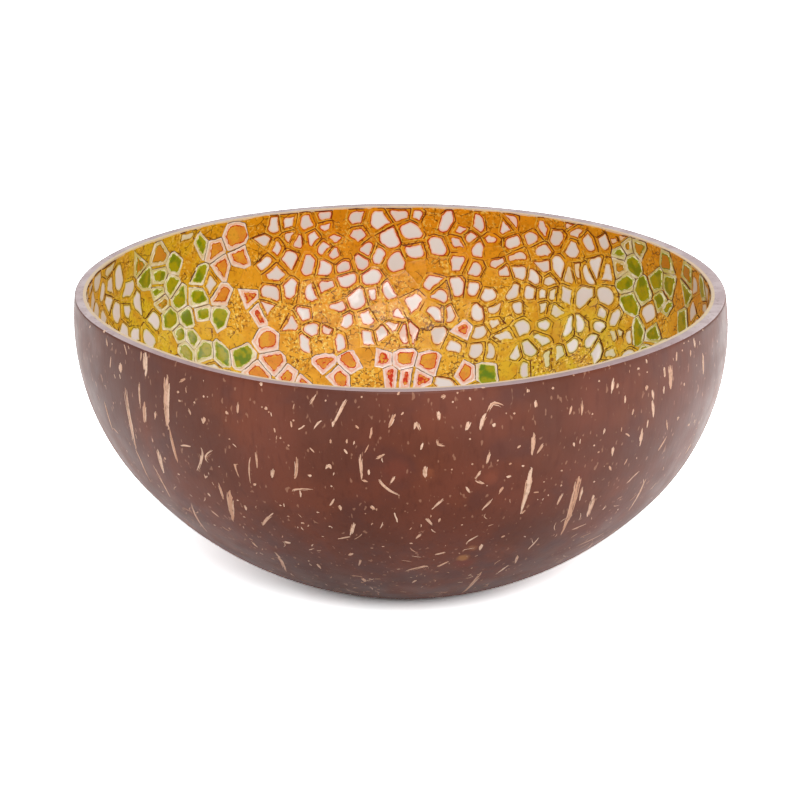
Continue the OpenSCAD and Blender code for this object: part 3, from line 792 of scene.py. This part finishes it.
def carry_tints(mesh):
    """Gives a mesh the tints of its places, and marks the band at the rim where a highlight is painted."""
    pairs = [tints(vert.co) for vert in mesh.vertices]
    for index, name in enumerate(("warm", "lime")):
        carry(mesh, name, [pair[index] for pair in pairs])
    # Painted highlight: the band along the gold's top edge at the rim
    carry(mesh, "lap_highlight", [
        1.0 if vert.co.z - wave_point(vert.co) > RIM_HEIGHT - SAWN_BAND else 0.0 for vert in mesh.vertices
    ])


ground_material, tree, output, place = new_material("dark_ground_lacquer")
ground_patch = mottling(tree, place, 0.003, 0.4, 0.6)
ground_colour = mix_colour(tree, ground_patch, paint(74, 40, 18), paint(112, 66, 30))
add_finish(tree, output, ground_colour, 0.35, 0.5)
lining(
    "ground_coat", 0, GROUND_THICKNESS, ground_material, "ground_lacquer", top=LAP_HEIGHT
)

# Gold lacquer. The coat that the chips are laid in, amber lacquer full of fine gold flake, which wells
# up between them. It shows in the streets between chips and round each chip's core.
BED_INSET = GROUND_THICKNESS + GOLD_THICKNESS
WELL_UP = 0.0002
GOLD_RELIEF = 0.00025


def bump(value, middle, width):
    """A smooth bump of height 1."""
    return math.exp(-(((value - middle) / width) ** 2))


def tints(point):
    """How far the gold round a point is tinted warm by orange lacquer, and lime by green lacquer."""
    bearing = math.degrees(math.atan2(point.y, point.x)) % 360
    share_up = point.z / RIM_HEIGHT
    warm = bump(bearing, 104, 30) * bump(share_up, 0.7, 0.45)
    warm += bump(bearing, 68, 18) * bump(share_up, 0.95, 0.3)
    lime = 1.2 * bump(bearing, 50, 23) * bump(share_up, 0.48, 0.34) + bump(bearing, 148, 24)
    lime += 0.8 * bump(bearing, 330, 24) + 0.5 * bump(bearing, 225, 24)
    return min(1, warm), min(1, lime)


flake_group, given, result = new_group("gold_flake", {"Lime": 0.0, "Warm": 0.0}, "Colour", "Height")
tree = flake_group
place = given["Place"]
near_rim = spread(tree, axis_of(tree, place, "Z"), 0.03, RIM_HEIGHT)
gold_colour = mix_colour(tree, near_rim, paint(244, 188, 58), paint(222, 142, 8))
gold_patch = mottling(tree, place, 0.0035, 0.42, 0.62)
flaky = mottling(tree, place, 0.009, 0.4, 0.6)
flaky = times(tree, flaky, minus(tree, 1.0, times(tree, near_rim, 0.5)))
flake_light = mottling(tree, place, 0.0006, 0.53, 0.62)
flake_dark = mottling(tree, place, 0.0007, 0.55, 0.64, 4.0)
crackle = add_node(tree, "ShaderNodeTexVoronoi", {
    "Vector": bent_place(tree, place, 700.0, 0.0016), "Scale": 300.0,
}, feature="DISTANCE_TO_EDGE").outputs["Distance"]
crackle_line = spread(tree, crackle, 0.03, 0.012)
crackle_line = times(tree, crackle_line, mottling(tree, place, 0.003, 0.46, 0.54))
for mask, strength, gold_tone in (
    (given["Lime"], 0.75, paint(208, 188, 22)),
    (given["Warm"], 0.35, paint(232, 128, 16)),
    (gold_patch, 0.5, paint(204, 128, 10)),
    (flake_light, times(tree, flaky, 0.9), paint(255, 222, 112)),
    (flake_dark, plus(tree, 0.24, times(tree, flaky, 0.7)), paint(128, 66, 0)),
    (crackle_line, 0.85, paint(92, 40, 0)),
):
    gold_colour = tinge(tree, gold_colour, mask, strength, gold_tone)
tree.links.new(gold_colour, result["Colour"])
tree.links.new(noise_value(tree, place, 900.0, 3.0), result["Height"])

gold_material, tree, output, place = new_material("gold_flake_lacquer")
flake = place_group(tree, flake_group, {
    "Place": place, "Lime": read_value(tree, "lime"), "Warm": read_value(tree, "warm"),
})
# Painted highlight: a pale cream band along the gold's top edge at the rim
lap_highlight_share = spread(tree, read_value(tree, "lap_highlight"), 0.55, 0.8)
gold_colour = tinge(tree, flake.outputs["Colour"], lap_highlight_share, 0.7, paint(240, 222, 192))
gold_relief = relief(tree, flake.outputs["Height"], 0.4, GOLD_RELIEF)
add_finish(tree, output, gold_colour, 0.36, 0.2, 0.08, 0.1, gold_relief)
gold_mesh = lining(
    "gold_coat", GROUND_THICKNESS, BED_INSET + WELL_UP, gold_material, "gold_lacquer",
    lap=LAP_HEIGHT
)
carry_tints(gold_mesh)

# Eggshell chips. Duck eggshell is crushed and pressed piece by piece into the wet gold lacquer, so
# that cracks stay open between the chips of one fragment. Rubbing back bares each chip's core.
CHIP_SEED = 7
CHIP_THICKNESS = 0.00032
CORNER_CUT = 0.00016
CHIP_GROW = 0.00009
OUTLINE_STEP = 0.0008
BROAD_WAVE = 0.00035
FINE_WAVE = 0.00013
BOWL_MIDDLE = Vector((0, 0, 0.062))
TOWARDS_WALL = 0.7
MILLIMETRES = 1000
CHIP_BORDER = (0.38, 0.56)
BORDER_LIMIT = 0.52
CORE_SHIFT = 0.12
SMALLEST_REACH = 0.0003
# The way that painted shade on chip edges faces, down the wall and across it
SHADE_STEEP = 0.8
SHADE_LEVEL = 0.6
RING_SHARES = (0.12, 0.4, 0.6, 0.78)
chip_rng = random.Random(CHIP_SEED)
noise.seed_set(CHIP_SEED)


def chip_outlines(node_name):
    """The wall side of every chip in a CAD node, as its corners in order and its inward normal."""
    bm = bmesh.new()
    bm.from_mesh(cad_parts[node_name].data)
    bmesh.ops.remove_doubles(bm, verts=bm.verts, dist=SAME_POINT)
    bmesh.ops.dissolve_limit(bm, angle_limit=math.radians(1), verts=bm.verts, edges=bm.edges)
    outlines = [
        ([vert.co.copy() for vert in reversed(face.verts)], -face.normal)
        for face in bm.faces
        if face.normal.dot((face.calc_center_median() - BOWL_MIDDLE).normalized()) > TOWARDS_WALL
    ]
    bm.free()
    return outlines


def worn_outline(corners, normal, grow):
    """Cuts a chip's corners and makes its sides wander. Neighbours wander together, so cracks stay."""
    middle = sum(corners, Vector()) / len(corners)
    cut = []
    for index, corner in enumerate(corners):
        for other in (corners[index - 1], corners[(index + 1) % len(corners)]):
            side = other - corner
            cut.append(corner + side.normalized() * min(CORNER_CUT, 0.3 * side.length))
    made = []
    for index, point in enumerate(cut):
        side = cut[(index + 1) % len(cut)] - point
        parts = max(1, round(side.length / OUTLINE_STEP))
        made += [point + side * part / parts for part in range(parts)]
    worn = []
    for point in made:
        shift = (
            noise.noise_vector(point * 200) * BROAD_WAVE
            + noise.noise_vector(point * 1100 + Vector((5, 5, 5))) * FINE_WAVE
        )
        out = (point - middle).normalized() * grow
        worn.append(point + out + shift - normal * normal.dot(shift))
    return worn


def build_chips(
    name, node_name, material, steps, top, grow=CHIP_GROW, extra_warm=0.0, border_range=None
):
    """Rebuilds a CAD node's chips with worn outlines, edges worn down in steps and a domed or hollow face.

    Each of steps is (distance in from the edge, height over the chip's own top edge). A chip's dark
    crack line, a real crack, is kept as painted shade on the sides that face one way, and a painted
    highlight takes the other sides. Its edge, border and size, which its material reads, are in
    millimetres."""
    verts, faces = [], []
    values = {key: [] for key in ("edge", "lined", "tone", "border", "warm", "lime", "size")}
    spots = []
    low_border, border_spread = border_range or CHIP_BORDER
    for corners, normal in chip_outlines(node_name):
        outline = worn_outline(corners, normal, grow)
        count = len(outline)
        middle = sum(outline, Vector()) / count
        level = Vector((0, 0, 1)).cross(normal).normalized()
        steep = normal.cross(level)
        lined_way = steep * SHADE_STEEP + level * SHADE_LEVEL
        arms = [(point - middle) for point in outline]
        flat = [(arm.dot(level), arm.dot(steep)) for arm in arms]
        skew = math.atan2(2 * sum(x * y for x, y in flat), sum(x * x - y * y for x, y in flat)) / 2
        along = level * math.cos(skew) + steep * math.sin(skew)
        across = normal.cross(along)
        long_half = max(abs(arm.dot(along)) for arm in arms)
        short_half = max(abs(arm.dot(across)) for arm in arms)
        reaches, lined = [], []
        for index in range(count):
            side = (outline[(index + 1) % count] - outline[index - 1]).normalized()
            out = side.cross(normal)
            reach = arms[index].dot(out)
            reaches.append(max(SMALLEST_REACH, abs(reach)))
            # An edge that faces the shade way gets the painted shade line, the others a painted highlight
            lined.append(1.0 if math.copysign(1, reach) * out.dot(lined_way) > 0 else 0.0)
        inner = min(reaches)
        bearing = math.degrees(math.atan2(middle.y, middle.x)) % 360
        warmth, limes = tints(middle)
        widest_border = BORDER_LIMIT * inner * MILLIMETRES
        single = {
            "tone": chip_rng.random(),
            "border": min(low_border + border_spread * chip_rng.random() ** 1.4, widest_border),
            "warm": min(1, warmth + 0.3 * chip_rng.random() + extra_warm),
            "lime": limes if border_range is None else max(
                bump(bearing, 22, 30), bump(bearing, 160, 26), bump(bearing, 340, 40)),
            "size": (long_half + short_half) / 2 * MILLIMETRES,
        }
        off_x, off_y = CORE_SHIFT * chip_rng.gauss(0, 1), CORE_SHIFT * chip_rng.gauss(0, 1)
        rings = [(0.0, 0.0), (0.0, top)]
        for index, (distance, height) in enumerate(steps):
            rings.append((min(distance, inner * RING_SHARES[index]), top + height))
        base = len(verts)
        for depth, height in rings:
            for index, arm in enumerate(arms):
                inward = arm * (1 - depth / reaches[index])
                verts.append(middle + inward + normal * height)
                spots += [inward.dot(along) / long_half + off_x, inward.dot(across) / short_half + off_y, 0]
            values["edge"] += [depth * MILLIMETRES] * count
            values["lined"] += lined
        for key, value in single.items():
            values[key] += [value] * (count * len(rings))
        for ring in range(len(rings) - 1):
            low = base + ring * count
            for index in range(count):
                after = (index + 1) % count
                faces.append((low + index, low + after, low + count + after, low + count + index))
        faces.append(tuple(range(base + (len(rings) - 1) * count, base + len(rings) * count)))
        faces.append(tuple(reversed(range(base, base + count))))
    mesh = bpy.data.meshes.new(name)
    mesh.from_pydata([natural_inside(point) for point in verts], [], faces)
    for key, numbers in values.items():
        carry(mesh, key, numbers)
    mesh.attributes.new("spot", "FLOAT_VECTOR", "POINT").data.foreach_set("vector", spots)
    mesh.shade_smooth()
    mesh.set_sharp_from_angle(angle=math.radians(35))
    piece = link_piece(name, mesh, material)
    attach(piece, "root")
    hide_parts(node_name)


def spot_distance(tree):
    """Distance from the middle of a chip's bared core, as a share of the chip."""
    return vector_math(tree, "LENGTH", {0: read_value(tree, "spot", "Vector")}, "Value")


def smooth_min(tree, first, second, blend):
    """The smaller of two values, with a soft change from one to the other."""
    return add_node(
        tree, "ShaderNodeMath", {0: first, 1: second, 2: blend}, operation="SMOOTH_MIN"
    ).outputs[0]


def inside_line(tree, distance, middle, half_width):
    """How far inside a line a place lies, where the line runs along one value of a distance."""
    return minus(tree, half_width, add_math(tree, "ABSOLUTE", minus(tree, distance, middle)))


# Chip rings: from the crack inwards a dark edge, a border that the lacquer covers, a thin line of
# red lacquer, and the bared core. The dark crack line is kept only on the edges that face one way, as
# painted shade, and a painted highlight runs along the other edges. Distances are in millimetres.
ring_group, given, result = new_group("chip_rings", {"Crack_and_shade": 0.08}, "Crack_and_shade", "Ridge_highlight", "Inside")
tree = ring_group
place = given["Place"]
edge, border = read_value(tree, "edge"), read_value(tree, "border")
broad_wobble = times(tree, minus(tree, noise_value(tree, place, 330.0, 1.0), 0.5), 0.45)
fine_wobble = times(tree, minus(tree, noise_value(tree, place, 1300.0, 2.0), 0.5), 0.26)
spot_reach = times(tree, minus(tree, 0.82, spot_distance(tree)), read_value(tree, "size"))
from_round = minus(tree, spot_reach, times(tree, border, 0.5))
nearer = smooth_min(tree, minus(tree, edge, border), from_round, 0.4)
inside = plus(tree, nearer, plus(tree, broad_wobble, fine_wobble))
crack_width = plus(tree, given["Crack_and_shade"], times(tree, fine_wobble, 0.5))
crack_line = spread(tree, minus(tree, crack_width, edge), -0.03, 0.02)
crack_band = times(tree, crack_line, mottling(tree, place, 0.003, 0.36, 0.48))
# Painted shade: the dark crack line stays on the shaded side of each edge, and a painted highlight takes
# the other side
shade_side_share = spread(tree, read_value(tree, "lined"), 0.3, 0.7)
for socket, value in (
    ("Inside", inside), ("Crack_and_shade", times(tree, crack_band, shade_side_share)),
    ("Ridge_highlight", times(tree, crack_band, minus(tree, 1.0, shade_side_share))),
):
    tree.links.new(value, result[socket])

eggshell_material, tree, output, place = new_material("lacquered_eggshell")
tone, warm, lime = (read_value(tree, name) for name in ("tone", "warm", "lime"))
rings = place_group(tree, ring_group, {"Place": place, "Crack_and_shade": 0.19})
inside_by = rings.outputs["Inside"]
flake = place_group(tree, flake_group, {"Place": place, "Lime": lime, "Warm": warm})
core_colour = mix_colour(tree, tone, paint(222, 210, 204), paint(236, 230, 228))
rim_tint = mix_colour(tree, warm, paint(238, 204, 152), paint(248, 188, 166))
rim_tint = mix_colour(tree, lime, rim_tint, paint(216, 208, 120))
core_colour = tinge(tree, core_colour, spread(tree, inside_by, 0.52, 0.1), 0.85, rim_tint)
line_colour = mix_colour(tree, warm, paint(160, 78, 4), paint(190, 38, 2))
line_colour = mix_colour(tree, lime, line_colour, paint(132, 108, 0))
chip_colour = mix_colour(tree, spread(tree, inside_by, 0.02, 0.09), flake.outputs["Colour"], core_colour)
line_near = inside_line(tree, inside_by, -0.08, 0.16)
line_there = mottling(tree, place, 0.0016, 0.35, 0.52)
line_share = times(tree, spread(tree, line_near, 0.0, 0.1), times(tree, line_there, 0.95))
chip_colour = mix_colour(tree, line_share, chip_colour, line_colour)
# Painted shade and highlight on each chip's edge: a dark crack line on the shaded side, a pale gold line on
# the lit side
crack_and_shade_colour = mix_colour(tree, warm, paint(76, 34, 0), paint(104, 28, 0))
chip_colour = tinge(tree, chip_colour, rings.outputs["Ridge_highlight"], 0.55, paint(252, 212, 90))
chip_colour = mix_colour(tree, rings.outputs["Crack_and_shade"], chip_colour, crack_and_shade_colour)
bare_border = spread(tree, inside_by, 0.05, -0.1)
chip_relief = relief(tree, times(tree, flake.outputs["Height"], bare_border), 0.4, GOLD_RELIEF)
open_crack = spread(tree, inside_by, -0.1, 0.05)
chip_coat = plus(tree, 0.06, times(tree, open_crack, 0.3))
chip_rough = plus(tree, 0.3, times(tree, rings.outputs["Crack_and_shade"], 0.5))
add_finish(tree, output, chip_colour, chip_rough, 0.22, chip_coat, 0.06, chip_relief)

WHITE_STEPS = ((0.00006, 0.000015), (0.0004, 0.00004), (0.0009, 0.00006), (0.0014, 0.00008))
WHITE_TOP = CHIP_THICKNESS - 0.00008
for band in ("base", "low", "middle", "high", "rim"):
    build_chips(
        f"eggshell_chips_{band}", f"white_chips_{band}", eggshell_material,
        WHITE_STEPS, WHITE_TOP
    )

# Gold fills. Where no chip lies the cell is filled with thick gold lacquer, almost level with the chips.
FILL_STEPS = ((0.0002, 0.00004), (0.0006, 0.00005))
FILL_TOP = 0.00019
FILL_GROW = 0.00014
build_chips("gold_fills", "gold_fill", gold_material, FILL_STEPS, FILL_TOP, FILL_GROW)

# Cupped chips. These chips lie with the egg's inside up, so each makes a shallow white cup with a bare
# rim, and the cup holds a pool of green or orange lacquer.
cup_material, tree, output, place = new_material("cupped_eggshell")
rings = place_group(tree, ring_group, {"Place": place, "Crack_and_shade": 0.15})
warm, edge, lime = (read_value(tree, name) for name in ("warm", "edge", "lime"))
warm = times(tree, warm, minus(tree, 1.0, lime))
cup_colour = mix_colour(tree, warm, paint(238, 230, 204), paint(248, 226, 216))
lime_cup = mottling(tree, place, 0.002, 0.34, 0.54)
cup_colour = tinge(tree, cup_colour, lime, times(tree, lime_cup, 0.85), paint(200, 182, 60))
stain = mix_colour(tree, warm, paint(196, 200, 96), paint(240, 150, 110))
stain_edge = plus(tree, edge, times(tree, mottling(tree, place, 0.001, 0.35, 0.65), 0.3))
cup_colour = tinge(tree, cup_colour, spread(tree, stain_edge, 0.35, 0.8), 0.5, stain)
# Dark crack line, kept on the shaded side of each edge as painted shade
cup_colour = mix_colour(tree, rings.outputs["Crack_and_shade"], cup_colour, paint(84, 40, 2))
add_finish(tree, output, cup_colour, 0.3, 0.4, 0.3, 0.06)
ORANGE_CUP_STEPS = ((0.00006, 0.00004), (0.0006, 0.00003), (0.0009, -0.0001))
GREEN_CUP_STEPS = ((0.00006, 0.00004), (0.00034, 0.00003), (0.0006, -0.0001))
CUP_TOP = CHIP_THICKNESS - 0.00004
CUP_BORDER = (0.8, 0.0)
build_chips(
    "green_cups", "green_cup_chips", cup_material, GREEN_CUP_STEPS, CUP_TOP,
    border_range=CUP_BORDER
)
build_chips(
    "orange_cups", "orange_cup_chips", cup_material, ORANGE_CUP_STEPS, CUP_TOP,
    extra_warm=0.6, border_range=CUP_BORDER
)


def pool_material(name, deep, middle_tone, edge_tone, line_tone, line_strength, lime_share, bare_tone):
    """Translucent lacquer, cloudy inside, with a pale fringe and a darker line round it."""
    material, tree, output, place = new_material(name)
    wobble = times(tree, mottling(tree, place, 0.0009, 0.3, 0.7, 3.0), 0.25)
    from_round = times(tree, minus(tree, 1.04, spot_distance(tree)), read_value(tree, "size"))
    nearer = smooth_min(tree, read_value(tree, "edge"), from_round, 0.2)
    from_edge = minus(tree, nearer, wobble)
    colour = mix_colour(tree, mottling(tree, place, 0.0028, 0.42, 0.58, 3.0), deep, middle_tone)
    grain = mottling(tree, place, 0.0005, 0.5, 0.7, 3.0)
    colour = tinge(tree, colour, grain, 0.25, paint(120, 74, 6))
    lime = read_value(tree, "lime")
    colour = tinge(tree, colour, lime, lime_share, paint(196, 124, 4))
    fringe = mix_colour(tree, lime, edge_tone, paint(170, 178, 40))
    colour = mix_colour(tree, spread(tree, from_edge, 0.26, 0.02), colour, fringe)
    line_near = inside_line(tree, from_edge, 0.1, 0.15)
    line_share = times(
        tree, spread(tree, line_near, 0.0, 0.07),
        times(tree, mottling(tree, place, 0.0014, 0.34, 0.48), line_strength)
    )
    line_tone = mix_colour(tree, lime, line_tone, paint(116, 132, 0))
    colour = mix_colour(tree, line_share, colour, line_tone)
    bare = mix_colour(tree, lime, bare_tone, paint(238, 232, 200))
    colour = mix_colour(tree, spread(tree, from_edge, -0.02, -0.12), colour, bare)
    add_finish(tree, output, colour, 0.25, 0.2, 0.15, 0.05)
    return material


POOL_STEPS = ((0.00025, 0.00003), (0.0007, 0.00005))
POOL_TOP = 0.0002
GREEN_POOL_GROW = 0.00034
green_pool = pool_material(
    "green_lacquer", paint(100, 132, 0), paint(164, 160, 0), paint(190, 196, 50), paint(110, 128, 0),
    0.5, 0.2, paint(228, 222, 168)
)
orange_pool = pool_material(
    "orange_lacquer", paint(232, 166, 52), paint(228, 142, 50), paint(234, 136, 78), paint(204, 40, 10),
    0.95, 0.95, paint(248, 218, 202)
)
build_chips(
    "green_lacquer_pools", "green_pools", green_pool, POOL_STEPS, POOL_TOP,
    GREEN_POOL_GROW, border_range=CUP_BORDER
)
build_chips(
    "orange_lacquer_pools", "orange_pools", orange_pool, POOL_STEPS, POOL_TOP,
    border_range=CUP_BORDER
)
